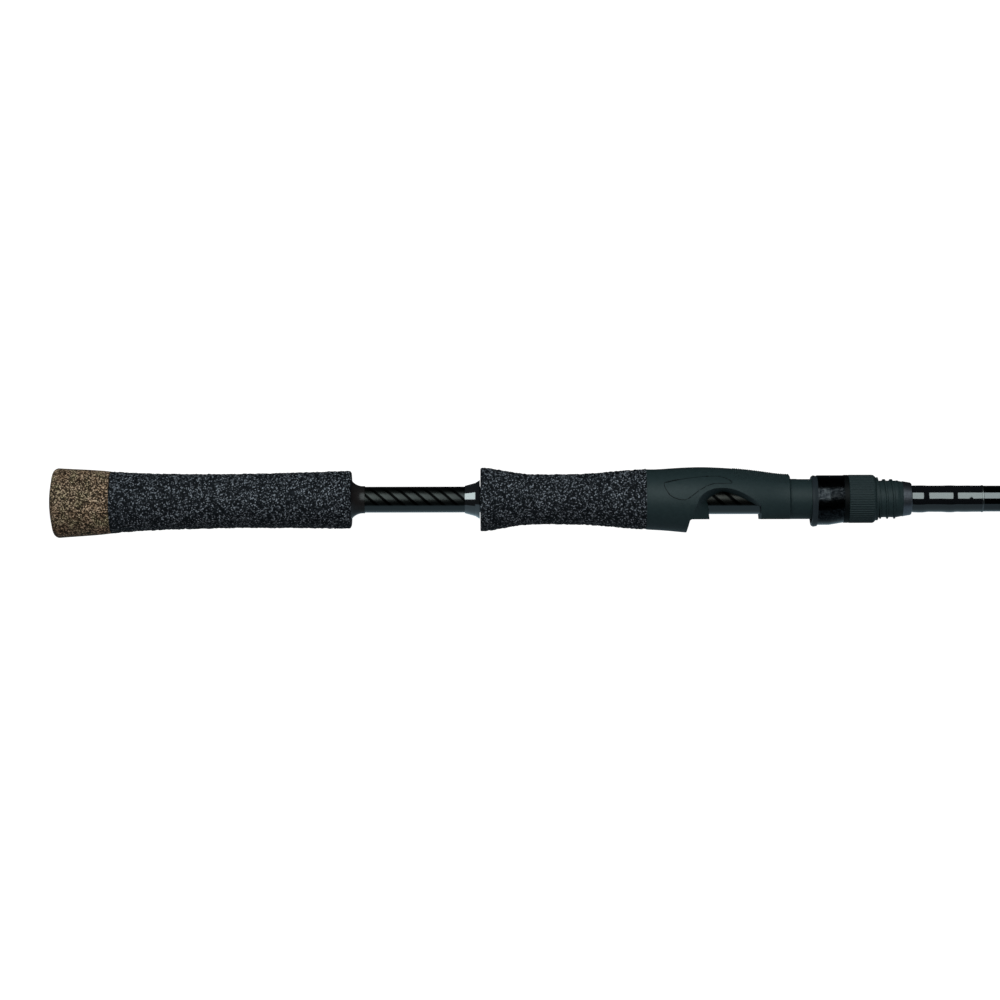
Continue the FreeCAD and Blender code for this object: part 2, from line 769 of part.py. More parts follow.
def guide_wrap(g, direction):
    """Winding over one foot: a thin sleeve with a swelling where the foot lies."""
    near = g["x"] + direction * (g["reach"] + g["bare"])
    far = g["x"] + direction * (g["reach"] + g["foot_length"] + WRAP_TAIL)
    foot_end = far - direction * 0.75 * WRAP_TAIL
    back = min(near, far)
    front = max(near, far)
    surface = seat_r(g, direction)
    thin = surface + WRAP_HEIGHT
    sleeve = turned(
        (back, 0),
        (back, thin - 0.15),
        (back + 0.6, thin),
        (front - 0.6, thin),
        (front, thin - 0.15),
        (front, 0),
    )
    high = surface + g["foot_height"] + WRAP_HEIGHT
    half = g["foot_width"] / 2 + 0.3
    side = outline((near, 0), (near, -high), (foot_end, -thin), (foot_end, 0))
    hump = prism(side, -half, half)
    room = guide_foot(g, direction).makeOffsetShape(0.03, 0.001)
    return sleeve.fuse(hump).cut([room, bar(back - 1, front + 1, surface)])


def tip_top():
    """Tube glued over the blank's end, carrying a ring on four short wires."""
    size = TIP_RING_SIZE
    end_x = TIP_END
    start_x = end_x - TIP_TUBE_LENGTH
    bore_r = blank_r(start_x) + FOOT_CLEAR
    wall_r = bore_r + 0.3
    sleeve = turned(
        (start_x, bore_r),
        (start_x, wall_r),
        (end_x, wall_r),
        (end_x + 0.8, 0),
        (end_x, 0),
        (end_x, bore_r),
    )
    g = guide_sizes(size, ROD_LENGTH - 0.6 - size * 0.1)
    g["drop"] = size / 2 + 1.6
    half = g["wide"] / 2 * 0.85
    frame = tube(-half, half, g["ring_r"] + INSERT_CLEAR, g["hoop_r"])
    frame.translate(V(g["x"], 0, -g["drop"]))
    frame = frame.fuse(sleeve)
    middle = (g["ring_r"] + g["hoop_r"]) / 2
    for side in (-1, 1):
        root_y = side * bore_r * 0.4
        low = V(g["x"], side * middle * 0.95, -g["drop"] - middle * 0.31)
        high = V(g["x"], side * middle * 0.5, -g["drop"] + middle * 0.87)
        frame = frame.fuse(wire(low, V(end_x - 6.0, root_y, -bore_r - 0.3), g["wire_r"]))
        frame = frame.fuse(wire(high, V(end_x - 0.5, root_y, -bore_r * 0.5), g["wire_r"]))
    hole = bar(g["x"] - 2, g["x"] + 2, g["ring_r"] + INSERT_CLEAR, g["drop"])
    return frame.cut([hole, bar(end_x - FAR, end_x, bore_r)]), guide_ring(g)


# ---------------------------------------------------------------- write every piece
def main():
    pieces = {
        "butt_cap": butt_cap(),
        "rear_grip": rear_grip(),
        "rear_winding_check": rear_winding_check(),
        "fore_winding_check": fore_winding_check(),
        "fore_grip": fore_grip(),
        "reel_seat_body": reel_seat_body(),
        "fixed_hood_liner": fixed_hood_liner(),
        "seat_sleeve": seat_sleeve(),
        "seat_end_ring": end_ring(),
        "sliding_hood": sliding_hood(),
        "sliding_hood_liner": sliding_hood_liner(),
        "hood_ring": hood_ring(),
        "lock_nut": lock_nut(),
        "blank": blank(),
    }
    pieces.update(front_windings())
    for number, (size, from_tip, feet) in enumerate(GUIDES, start=1):
        sizes = guide_sizes(size, ROD_LENGTH - from_tip, feet)
        name = "guide_" + str(number)
        pieces[name + "_frame"] = guide_frame(sizes, feet)
        pieces[name + "_ring"] = guide_ring(sizes)
        pieces[name + "_front_wrap"] = guide_wrap(sizes, 1)
        if feet == 2:
            pieces[name + "_rear_wrap"] = guide_wrap(sizes, -1)
    pieces["tip_top_frame"], pieces["tip_top_ring"] = tip_top()
    for name, shape in pieces.items():
        shape = single(shape)
        print(name, shape.ShapeType, len(shape.Solids), round(shape.Volume, 2), shape.isValid())
        save(shape, name)


main()
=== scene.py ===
# %% [markdown]
# # A spinning rod, from its imported parts to a studio picture
# The rod arrives as a frame of solid parts, all in one row frame: +X runs from the butt
# to the tip, +Z is up, and one unit is one metre. This lesson gives every part its
# surface: pressed grips, a cork cap, wound carbon, a soft-touch seat, varnished thread.
# First the frame is loaded, and the size of its box is kept.

# %% Load the frame
import math

import bmesh
import bpy
from mathutils import Matrix, Vector, noise
from mathutils.bvhtree import BVHTree


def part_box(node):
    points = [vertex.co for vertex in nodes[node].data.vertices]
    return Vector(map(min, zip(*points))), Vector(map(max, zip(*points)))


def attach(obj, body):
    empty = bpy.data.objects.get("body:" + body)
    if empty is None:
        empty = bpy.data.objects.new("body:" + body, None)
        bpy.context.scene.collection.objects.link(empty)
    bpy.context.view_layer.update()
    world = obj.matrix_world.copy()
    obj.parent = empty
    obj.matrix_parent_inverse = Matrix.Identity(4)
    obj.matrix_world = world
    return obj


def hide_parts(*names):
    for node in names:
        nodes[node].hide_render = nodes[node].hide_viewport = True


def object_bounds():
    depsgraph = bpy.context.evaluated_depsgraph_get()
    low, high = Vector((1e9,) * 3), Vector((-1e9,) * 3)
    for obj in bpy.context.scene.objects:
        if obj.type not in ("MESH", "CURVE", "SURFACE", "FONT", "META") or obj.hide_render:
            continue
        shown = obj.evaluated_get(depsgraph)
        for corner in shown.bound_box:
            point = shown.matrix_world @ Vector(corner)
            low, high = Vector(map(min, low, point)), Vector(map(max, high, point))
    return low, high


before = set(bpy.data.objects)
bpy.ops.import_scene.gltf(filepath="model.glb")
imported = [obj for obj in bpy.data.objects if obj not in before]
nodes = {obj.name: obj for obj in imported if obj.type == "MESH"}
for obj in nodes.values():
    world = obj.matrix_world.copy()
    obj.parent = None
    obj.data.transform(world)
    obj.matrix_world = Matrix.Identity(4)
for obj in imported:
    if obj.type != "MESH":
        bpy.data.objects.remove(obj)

cad_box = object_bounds()
MM = 0.001
print("the frame holds", len(nodes), "nodes, box", [tuple(round(c, 4) for c in p) for p in cad_box])

# %% [markdown]
# ## A bench for finishes
# A material is a graph of nodes that ends in one Principled shader. Building such a graph
# by hand takes four lines for each node, so a small bench does it in one: every method
# adds a node, wires what it is given into it, and hands back the output. All patterns read
# Object coordinates, in metres, so that a scale of 1000 gives spots about 1 mm across.


# %% The bench
class Finish:
    """A material under construction."""

    def __init__(self, name, **plain):
        self.material = bpy.data.materials.new(name)
        self.material.use_nodes = True
        self.tree = self.material.node_tree
        self.shader = self.tree.nodes["Principled BSDF"]
        self.place = self.add("ShaderNodeTexCoord").outputs["Object"]
        for socket, value in plain.items():
            self.shader.inputs[socket.replace("_", " ")].default_value = value

    def add(self, kind, feeds=(), **settings):
        """One node: settings are its menus, feeds are (socket, value or output) pairs."""
        node = self.tree.nodes.new(kind)
        for name, value in settings.items():
            setattr(node, name, value)
        for socket, value in dict(feeds).items():
            if isinstance(value, bpy.types.NodeSocket):
                self.tree.links.new(value, node.inputs[socket])
            else:
                node.inputs[socket].default_value = value
        return node

    def sum(self, operation, first, second=0.0, third=0.0):
        """One step of arithmetic."""
        feeds = {0: first, 1: second, 2: third}
        return self.add("ShaderNodeMath", feeds, operation=operation).outputs[0]

    def noise(self, scale, detail=2.0, roughness=0.5):
        """A cloudy value from 0 to 1."""
        feeds = {"Vector": self.place, "Scale": scale, "Detail": detail, "Roughness": roughness}
        return self.add("ShaderNodeTexNoise", feeds).outputs["Fac"]

    def crumbs(self, scale):
        """Cells packed like crumbs, each with one random colour."""
        feeds = {"Vector": self.place, "Scale": scale, "Randomness": 1.0}
        return self.add("ShaderNodeTexVoronoi", feeds, feature="F1").outputs["Color"]

    def spread(self, value, low, high, to_low=0.0, to_high=1.0):
        """Map a range of a value on to another, clamped."""
        ends = {"From Min": low, "From Max": high, "To Min": to_low, "To Max": to_high}
        return self.add("ShaderNodeMapRange", {"Value": value, **ends}).outputs["Result"]

    def ramp(self, value, stops):
        """Colours along a value, from (position, colour) pairs."""
        node = self.add("ShaderNodeValToRGB", {"Fac": value})
        band = node.color_ramp
        while len(band.elements) < len(stops):
            band.elements.new(0.5)
        for element, (position, colour) in zip(band.elements, stops):
            element.position = position
            element.color = (*colour, 1.0)
        return node.outputs["Color"]

    def mix(self, share, first, second):
        """A blend of two colours."""
        feeds = {"Factor": share, "A": first, "B": second}
        node = self.add("ShaderNodeMix", data_type="RGBA")
        for socket in node.inputs:
            if socket.enabled and socket.name in feeds:
                value = feeds[socket.name]
                if isinstance(value, bpy.types.NodeSocket):
                    self.tree.links.new(value, socket)
                else:
                    socket.default_value = (*value, 1.0) if isinstance(value, tuple) else value
        return next(s for s in node.outputs if s.enabled)

    def into(self, socket, source):
        """Wire an output into the shader."""
        self.tree.links.new(source, self.shader.inputs[socket])

    def relief(self, height, depth):
        """Bump from a height between 0 and 1, depth in metres."""
        feeds = {"Height": height, "Distance": depth, "Strength": 1.0}
        self.into("Normal", self.add("ShaderNodeBump", feeds).outputs["Normal"])


def dress(piece, finish):
    """Give a piece one finish in place of what it had."""
    piece.data.materials.clear()
    piece.data.materials.append(finish.material)


# %% [markdown]
# ## Feeling the shape of a turned part
# A pattern maker copies a turned handle by pushing a gauge against it. A ray does the same
# here: it is shot at the part from the side, towards the axis, and the distance it travels
# gives the radius at that station. The part in the frame stays the authority on size, and
# the finer copy made from the readings can't drift away from it.

# %% The gauge
SIDE = Vector((0, 1, 0))
FAR = 0.1


def skin_of(node):
    """The surface of a node, ready for rays to be shot at it."""
    mesh = nodes[node].data
    return BVHTree.FromPolygons([v.co for v in mesh.vertices], [p.vertices for p in mesh.polygons])


def gauge(node, stations, axis_z):
    """Radius of a turned node at each station, measured square to its axis on the far side."""
    skin = skin_of(node)
    return [skin.ray_cast(Vector((x, FAR, axis_z(x))), -SIDE)[0].y for x in stations]


def even(first, last, step):
    """Stations from first to last, about a step apart."""
    count = max(2, round((last - first) / step))
    return [first + (last - first) * i / count for i in range(count + 1)]


WAIST_AT = 0.215
waist = gauge("fore_grip", [WAIST_AT], lambda x: 0.0)[0]
print("radius of the fore grip's waist, mm:", round(waist / MM, 2))

# %% [markdown]
# ## Turning a part
# `bmesh.ops.spin` is Blender's lathe: it sweeps a line of vertices about an axis. With
# `use_merge` the last copy is joined to the first, so the shape closes without a seam.
# Ends that meet the axis are closed by merging the vertices that fell on it. Edges that
# turn by more than 50 degrees are marked sharp, so that they are not shaded round.

# %% The lathe
MERGE = 0.002 * MM
SHARP = math.radians(50)


def lathe(name, profile, steps):
    """Closed solid from (x, radius) points in order, both ends on the axis or joined up."""
    work = bmesh.new()
    line = [work.verts.new((x, 0, r)) for x, r in profile]
    edges = [work.edges.new(pair) for pair in zip(line, line[1:])]
    bmesh.ops.spin(
        work, geom=line + edges, cent=(0, 0, 0), axis=(1, 0, 0), dvec=(0, 0, 0),
        angle=math.tau, steps=steps, use_merge=True, use_duplicate=False,
    )
    bmesh.ops.remove_doubles(work, verts=work.verts[:], dist=MERGE)
    bmesh.ops.recalc_face_normals(work, faces=work.faces[:])
    mesh = bpy.data.meshes.new(name)
    work.to_mesh(mesh)
    work.free()
    mesh.shade_smooth()
    mesh.set_sharp_from_angle(angle=SHARP)
    piece = bpy.data.objects.new(name, mesh)
    bpy.context.scene.collection.objects.link(piece)
    return piece


# %% [markdown]
# ## The grips
# The grips look pressed from black rubber and cork crumbs: a matte skin of small pebbles
# with pits between them. A bump map would leave the outline as smooth as glass, so the
# pebbles are real here: the turned skin gets a point every 0.4 mm, and each point moves in
# or out by noise that is sampled where it sits. Two sizes of noise are added, because
# crumbs come in sizes, and a third cuts the worm-like pits. The finest grain stays in the
# finish. Near the hole for the blank nothing moves, so that the hole stays round.
#
# The rear grip's axis leans a little: the butt hangs lower than the front.

# %% Pebbled grips
PEBBLE = 0.4 * MM
GRAIN_DEPTH = 0.34 * MM
GRAIN_STEPS = 176
GRIP_BORE = 5.7 * MM
STILL_RIM = 1.5 * MM
COARSE, FINE, WORM = 1.5 * MM, 0.75 * MM, 2.4 * MM
REAR_IN = 0.3 * MM
FRONT_IN = 0.05 * MM

CAP_LOW, CAP_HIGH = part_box("butt_cap")
GRIP_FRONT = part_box("rear_grip")[1].x
DROP = (CAP_LOW.z + CAP_HIGH.z) / 2


def lean(x):
    """Height of the rear grip's axis at x: level at its front, lower at the butt."""
    return DROP * (GRIP_FRONT - x) / GRIP_FRONT


def pebbles(point):
    """Height of the pressed skin at a point, about -1 to 1."""
    coarse = noise.noise(point / COARSE)
    fine = noise.noise(point / FINE + Vector((7, 3, 5)))
    worm = abs(noise.noise(point / WORM + Vector((2, 9, 4))))
    return 0.9 * coarse + 0.6 * fine - max(0.0, 0.25 - worm) * 1.6


def pebbled_grip(name, node, axis_z):
    """A turned copy of a grip, its skin moved in and out by the pebbles."""
    low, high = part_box(node)
    stations = even(low.x + REAR_IN, high.x - FRONT_IN, PEBBLE)
    radii = gauge(node, stations, axis_z)
    rear, front = (stations[0], GRIP_BORE), (stations[-1], GRIP_BORE)
    profile = [rear, *zip(stations, radii), front, rear]
    piece = lathe(name, profile, GRAIN_STEPS)
    for vertex in piece.data.vertices:
        out = math.hypot(vertex.co.y, vertex.co.z)
        if out > GRIP_BORE + STILL_RIM:
            away = Vector((0, vertex.co.y, vertex.co.z)).normalized()
            vertex.co += away * GRAIN_DEPTH * pebbles(vertex.co)
        vertex.co.z += axis_z(vertex.co.x)
    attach(piece, "rod")
    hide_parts(node)
    print(name, "has", len(piece.data.polygons), "faces")
    return piece


rear_grip = pebbled_grip("rear_grip_skin", "rear_grip", lean)
fore_grip = pebbled_grip("fore_grip_skin", "fore_grip", lambda x: 0.0)

# %% [markdown]
# ## Finish of the grips
# Matte black rubber with grey crumbs. The crumbs come from Voronoi cells, each cell with a
# random grey, of which only the lightest few are shown as specks.

# %% Grip finish
grip_finish = Finish("pressed_grip", Roughness=0.6, Specular_IOR_Level=0.03)
crumb_grey = grip_finish.ramp(
    grip_finish.crumbs(2200.0),
    [
        (0.0, (0.001, 0.0014, 0.002)),
        (0.55, (0.003, 0.0036, 0.0048)),
        (0.68, (0.01, 0.0115, 0.0145)),
        (0.88, (0.13, 0.137, 0.156)),
    ],
)
grip_finish.into("Base Color", crumb_grey)
grip_finish.relief(grip_finish.noise(2600.0, 3.0, 0.65), 0.3 * MM)
for grip in (rear_grip, fore_grip):
    dress(grip, grip_finish)
print("the grips' finish has", len(grip_finish.tree.nodes), "nodes")

# %% [markdown]
# ## The butt cap
# Rubberised cork burl: fine crumbs of brown, tan and olive in a dark binder. It is sanded
# flush, so its outline is smooth, and the part in the frame keeps its own mesh. All the
# work is in the finish: cells about 0.5 mm across pick a random brown, and a slow noise
# tints them towards olive or red.

# %% Burl finish
burl = Finish("cork_burl", Roughness=0.75, Specular_IOR_Level=0.05)
brown = burl.ramp(
    burl.crumbs(2200.0),
    [
        (0.0, (0.002, 0.0008, 0.0003)),
        (0.38, (0.011, 0.0065, 0.0035)),
        (0.6, (0.052, 0.035, 0.024)),
        (0.86, (0.31, 0.235, 0.185)),
    ],
)
tint = burl.ramp(
    burl.noise(160.0, 2.0),
    [(0.3, (1.0, 0.84, 0.68)), (0.5, (1.0, 0.92, 0.82)), (0.7, (0.9, 0.98, 0.76))],
)
tinted = burl.add("ShaderNodeMix", data_type="RGBA", blend_type="MULTIPLY")
tinted.inputs["Factor"].default_value = 1.0
burl.tree.links.new(brown, tinted.inputs[6])
burl.tree.links.new(tint, tinted.inputs[7])
burl.into("Base Color", tinted.outputs[2])
burl.relief(burl.noise(2400.0, 2.0), 0.12 * MM)
dress(nodes["butt_cap"], burl)
print("the burl has", len(burl.tree.nodes), "nodes")

# %% [markdown]
# ## Wound carbon
# The blank is rolled carbon with a ribbon wound over it: flat bands that climb round the
# rod, with dark gaps between them. The pattern is a helix, so it needs the angle about the
# axis. `arctan2` of the two cross coordinates gives it, and adding the distance along the
# rod, both counted in turns, makes a value that is constant along every band.
#
# Between the grips the varnish is a satin on top and a semi-gloss underneath, and the
# underside is also given a lighter colour: a painted reflection, the bright band that the card
# low down throws along the blank. Ahead of the seat it is bright all round, and the weave
# hardly shows. One station on the rod divides the two. A metal with a nearly black colour
# stands for the varnished carbon, because its colour alone says how much light it throws back.

# %% Carbon finish
TOWS = 9
UNDERSIDE = (-2.2 * MM, -3.0 * MM)
SATIN, SEMI_GLOSS, GLOSS = 0.34, 0.12, 0.07


def wound_carbon(name, starts, lead, shift, shine, bright_from=None):
    """Ribbons wound round the X axis: how many side by side, and the length of one turn."""
    finish = Finish(name, Metallic=1.0)
    axes = finish.add("ShaderNodeSeparateXYZ", {"Vector": finish.place})
    about = finish.sum("ARCTAN2", axes.outputs["Z"], finish.sum("MULTIPLY", axes.outputs["Y"], -1.0))
    turns = finish.sum("MULTIPLY", about, starts / math.tau)
    along = finish.sum("MULTIPLY", axes.outputs["X"], starts / lead)
    phase = finish.sum("FRACT", finish.sum("ADD", finish.sum("ADD", turns, along), shift))
    threads = [
        finish.sum("SINE", finish.sum("MULTIPLY", finish.sum(way, turns, along), math.tau * TOWS))
        for way in ("ADD", "SUBTRACT")
    ]
    weave = finish.spread(finish.sum("MULTIPLY", *threads), -1.0, 1.0)
    band = finish.ramp(
        phase,
        [
            (0.0, (0.0, 0.0, 0.0)),
            (0.24, (0.0, 0.0, 0.0)),
            (0.32, (1.0, 1.0, 1.0)),
            (0.93, (0.7, 0.7, 0.7)),
            (1.0, (0.0, 0.0, 0.0)),
        ],
    )
    fibre = finish.mix(weave, tuple(0.5 * c for c in shine), tuple(1.5 * c for c in shine))
    colour = finish.mix(band, (0.0006, 0.0006, 0.0006), fibre)
    under = finish.spread(axes.outputs["Z"], *UNDERSIDE)
    # painted reflection: the underside gets a lighter colour than the weave above, for the bright
    # band of the low card
    colour = finish.mix(under, colour, (0.045, 0.047, 0.047))
    rough = finish.spread(under, 0.0, 1.0, SATIN, SEMI_GLOSS)
    if bright_from is not None:
        ahead = finish.sum("GREATER_THAN", axes.outputs["X"], bright_from)
        varnish = finish.mix(weave, (0.036, 0.036, 0.037), (0.043, 0.043, 0.044))
        colour = finish.mix(ahead, colour, varnish)
        rough = finish.sum("MULTIPLY_ADD", ahead, finish.sum("SUBTRACT", GLOSS, rough), rough)
    finish.into("Base Color", colour)
    finish.into("Roughness", rough)
    return finish


SEAT_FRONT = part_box("reel_seat_body")[1].x
RIBBONS = 7
BLANK_LEAD, SLEEVE_LEAD = 39.6 * MM, 46.2 * MM
BLANK_SHINE = (0.013, 0.0135, 0.013)
SLEEVE_SHINE = (0.013, 0.0125, 0.0115)
blank_carbon = wound_carbon("blank_carbon", RIBBONS, BLANK_LEAD, 0.0, BLANK_SHINE, SEAT_FRONT)
sleeve_carbon = wound_carbon("sleeve_carbon", RIBBONS, SLEEVE_LEAD, 0.2, SLEEVE_SHINE)
dress(nodes["blank"], blank_carbon)
dress(nodes["seat_sleeve"], sleeve_carbon)
print("the varnish turns bright at", round(SEAT_FRONT / MM, 1), "mm")

# %% [markdown]
# ## The seat
# Such a seat is moulded nylon with a soft-touch coat: nearly black, a little blue-green,
# matte, with a very fine grain. The two liners and the nut are a plastic of the same kind,
# the liners a little glossier. Two tones are clouded together by noise, because one flat
# colour would look painted on.

# %% Soft-touch finish
TOUCH_GRAIN = 0.05 * MM
LINER_GRAIN = 0.01 * MM


def moulded(name, roughness, level, dark, light, grain):
    """Nearly black plastic, clouded between two tones, with a fine grain in metres deep."""
    finish = Finish(name, Roughness=roughness, Specular_IOR_Level=level)
    finish.into("Base Color", finish.mix(finish.noise(700.0, 4.0, 0.7), dark, light))
    finish.relief(finish.noise(4600.0, 2.0), grain)
    return finish


soft_touch = moulded(
    "soft_touch", 0.5, 0.09, (0.005, 0.0105, 0.0115), (0.0115, 0.0185, 0.02), TOUCH_GRAIN,
)
dress(nodes["reel_seat_body"], soft_touch)
liner_finish = moulded(
    "liner_plastic", 0.36, 0.12, (0.007, 0.0095, 0.012), (0.012, 0.0155, 0.019), LINER_GRAIN,
)
for node in ("fixed_hood_liner", "sliding_hood_liner"):
    dress(nodes[node], liner_finish)
nut_finish = moulded(
    "nut_rubber", 0.5, 0.09, (0.005, 0.01, 0.011), (0.0105, 0.0165, 0.018), TOUCH_GRAIN,
)
dress(nodes["lock_nut"], nut_finish)
print("moulded finishes:", [f.material.name for f in (soft_touch, liner_finish, nut_finish)])

# %% [markdown]
# ## Thumb texture
# The top of the seat, behind the shoulder, is covered with rows of fine pips that stop the
# thumb from slipping. Each pip is a ball sunk to its middle in the skin. A ray falls on the
# seat at each place, and the pip is set where it lands, every second row moved by half a
# step. There are several hundred, so each is an icosphere of twenty faces.

# %% Pips
SEAT_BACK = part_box("reel_seat_body")[0].x
PIPS_FROM = SEAT_BACK + 37.0 * MM
PIPS_TO = SEAT_BACK + 60.2 * MM
PIP_PITCH = 0.78 * MM
PIP_TURN = math.radians(4.4)
PIP_R = 0.29 * MM
PIPS_ASIDE = 11
seat_skin = skin_of("reel_seat_body")

work = bmesh.new()
for row, x in enumerate(even(PIPS_FROM, PIPS_TO, PIP_PITCH)):
    for column in range(-PIPS_ASIDE, PIPS_ASIDE + 1):
        angle = PIP_TURN * (column + 0.5 * (row % 2))
        out = Vector((0, math.sin(angle), math.cos(angle)))
        spot = seat_skin.ray_cast(Vector((x, 0, 0)) + out * FAR, -out)[0]
        place = Matrix.Translation(spot)
        bmesh.ops.create_icosphere(work, subdivisions=1, radius=PIP_R, matrix=place)
pip_mesh = bpy.data.meshes.new("thumb_texture")
work.to_mesh(pip_mesh)
work.free()
pip_mesh.shade_smooth()
thumb_texture = bpy.data.objects.new("thumb_texture", pip_mesh)
bpy.context.scene.collection.objects.link(thumb_texture)
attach(thumb_texture, "rod")
dress(thumb_texture, soft_touch)
print("thumb texture:", len(pip_mesh.polygons) // 20, "pips")

# %% [markdown]
# ## Painted shade along the panel seam
# Each side of the seat carries a leaf-shaped panel. The groove round it is drawn as a
# hair-thin near-black cord: painted shade, standing for the shadow in the groove. Its line is
# drawn in side view, as shares of the swell's length and heights, dropped on to the skin by
# rays, and given a round section by the curve's bevel.

# %% Seam shade
SWELL = 61.0 * MM
CORD_R = 0.16 * MM
CORD_STEPS = 4
LEAF = (
    (0.118, 7.0), (0.19, 8.0), (0.272, 8.75), (0.35, 9.35), (0.42, 9.7), (0.48, 9.75), (0.52, 9.4),
    (0.551, 8.8), (0.578, 7.9), (0.588, 7.2), (0.58, 6.5), (0.52, 6.6), (0.46, 6.5), (0.41, 5.5),
    (0.362, 3.8), (0.31, 1.4), (0.285, 0.3), (0.262, -0.35), (0.225, -0.2), (0.181, 0.75),
    (0.155, 1.9), (0.143, 3.0), (0.127, 4.6), (0.12, 5.8),
)


def seam(name, side):
    """A thin near-black cord round the leaf on one side of the seat: painted shade for the groove."""
    corners = [Vector((SEAT_BACK + share * SWELL, 0, z * MM)) for share, z in LEAF]
    points = []
    for here, there in zip(corners, corners[1:] + corners[:1]):
        for part in range(CORD_STEPS):
            spot = here.lerp(there, part / CORD_STEPS) + side * SIDE * FAR
            points.append(seat_skin.ray_cast(spot, -side * SIDE)[0])
    curve = bpy.data.curves.new(name, "CURVE")
    curve.dimensions = "3D"
    curve.bevel_depth = CORD_R
    curve.bevel_resolution = 1
    spline = curve.splines.new("POLY")
    spline.points.add(len(points) - 1)
    for knot, place in zip(spline.points, points):
        knot.co = (*place, 1.0)
    spline.use_cyclic_u = True
    drawn = bpy.data.objects.new(name + "_line", curve)
    cord = bpy.data.objects.new(name, bpy.data.meshes.new_from_object(drawn))
    bpy.data.objects.remove(drawn)
    bpy.context.scene.collection.objects.link(cord)
    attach(cord, "rod")
    return cord


# near-black satin: on the seam cords it is painted shade for the shadow in the panel's groove; on the
# hood ring it is the ring's own black
black_satin_and_seam_shade = Finish("black_satin_and_seam_shade", Roughness=0.5, Specular_IOR_Level=0.05)
black_satin_and_seam_shade.into(
    "Base Color",
    black_satin_and_seam_shade.mix(black_satin_and_seam_shade.noise(1500.0), (0.0006, 0.0008, 0.001), (0.0014, 0.0018, 0.002)),
)
for name, side in (("seam_shade_left", 1), ("seam_shade_right", -1)):
    cord = seam(name, side)
    dress(cord, black_satin_and_seam_shade)
    print(name, "has", len(cord.data.polygons), "faces")

# %% [markdown]
# ## The sliding hood
# The hood is a metal shell lacquered black, with flakes in the lacquer that break a
# reflection into specks. Each cell of the pattern is a flake, and only the lightest shine.
# The ring behind its rim is matte black, its own colour, so it wears the same near-black
# satin as the painted seam shade.

# %% Hood finish
hood_finish = Finish("hood_gloss", Metallic=1.0, Roughness=0.2)
flakes = hood_finish.ramp(
    hood_finish.crumbs(2600.0),
    [
        (0.0, (0.0003, 0.0003, 0.0005)),
        (0.45, (0.0015, 0.002, 0.0026)),
        (0.8, (0.018, 0.0185, 0.02)),
    ],
)
hood_finish.into("Base Color", flakes)
dress(nodes["sliding_hood"], hood_finish)
dress(nodes["hood_ring"], black_satin_and_seam_shade)
print("the hood's finish has", len(hood_finish.tree.nodes), "nodes")

# %% [markdown]
# ## Checks and end ring
# Two cones close the grips' ends. The front one is given a clear coat and shines. The rear
# one is given a satin. The ring at the front end of the seat is finished as aluminium
# anodised gunmetal, and a fine noise in its colour keeps it from looking flat.

# %% Check and ring finishes
check_finish = Finish("check_gloss", Roughness=0.12, Coat_Weight=1.0, Coat_Roughness=0.05)
check_finish.into(
    "Base Color",
    check_finish.mix(check_finish.noise(2000.0), (0.003, 0.003, 0.003), (0.008, 0.008, 0.009)),
)
dress(nodes["fore_winding_check"], check_finish)
satin_finish = Finish("check_satin", Roughness=0.3, Specular_IOR_Level=0.12)
satin_finish.into(
    "Base Color",
    satin_finish.mix(satin_finish.noise(1200.0, 3.0), (0.003, 0.0025, 0.0025), (0.011, 0.009, 0.009)),
)
dress(nodes["rear_winding_check"], satin_finish)

ring_finish = Finish("end_ring_metal", Roughness=0.38, Metallic=1.0)
ring_finish.into(
    "Base Color",
    ring_finish.mix(ring_finish.noise(1800.0, 4.0, 0.8), (0.035, 0.037, 0.045), (0.15, 0.15, 0.17)),
)
dress(nodes["seat_end_ring"], ring_finish)
print("finished:", [n for n in nodes if n.endswith("_check") or n == "seat_end_ring"])

# %% [markdown]
# ## Varnished windings
# Ahead of the seat the blank carries turns of black thread, flooded with epoxy while the
# rod turns. The epoxy finds its own level: it bulges over each winding and thins between
# them, so a reflection along the rod is broken wherever the surface tips away from the
# light. The heights below run along the first, middle and last winding and the varnished
# stretch up to the bright trim. The curve between two of them is an even S.

# %% Height of the film
FILM = (
    (0.0, 0.05), (0.8, 0.2), (3.0, 0.24), (4.3, 0.24), (7.3, 0.045), (12.0, 0.05), (16.2, 0.2),
    (16.9, 0.2), (19.3, 0.05), (23.0, 0.09), (26.0, 0.05), (30.0, 0.04),
)
BLANK_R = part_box("blank")[1].z
FILM_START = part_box("front_wrap_1")[0].x
FILM_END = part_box("trim_band")[0].x


def film(x):
    """Height of the epoxy over the blank at a station."""
    at = (x - FILM_START) / MM
    for (x0, h0), (x1, h1) in zip(FILM, FILM[1:]):
        if at <= x1:
            share = min(1.0, max(0.0, (at - x0) / (x1 - x0)))
            return (h0 + (h1 - h0) * share * share * (3 - 2 * share)) * MM
    return FILM[-1][1] * MM


print("thickest film, mm:", max(height for at, height in FILM))

# %% [markdown]
# ## Varnished thread
# The thread is black and lies in close turns, with a clear coat over it. A sine along the
# rod paints each turn a slightly lighter crown: a painted highlight, where light would catch
# the round of the strand. All the guides' windings wear it too.

# %% Thread finish
STRAND = 0.18 * MM
winding_finish = Finish(
    "varnished_thread", Roughness=0.4, Specular_IOR_Level=0.0, Coat_Weight=1.0, Coat_Roughness=0.04,
)
thread_x = winding_finish.add("ShaderNodeSeparateXYZ", {"Vector": winding_finish.place}).outputs["X"]
strand = winding_finish.sum("SINE", winding_finish.sum("MULTIPLY", thread_x, math.tau / STRAND))
painted_crown_highlight = winding_finish.spread(strand, -1.0, 1.0)
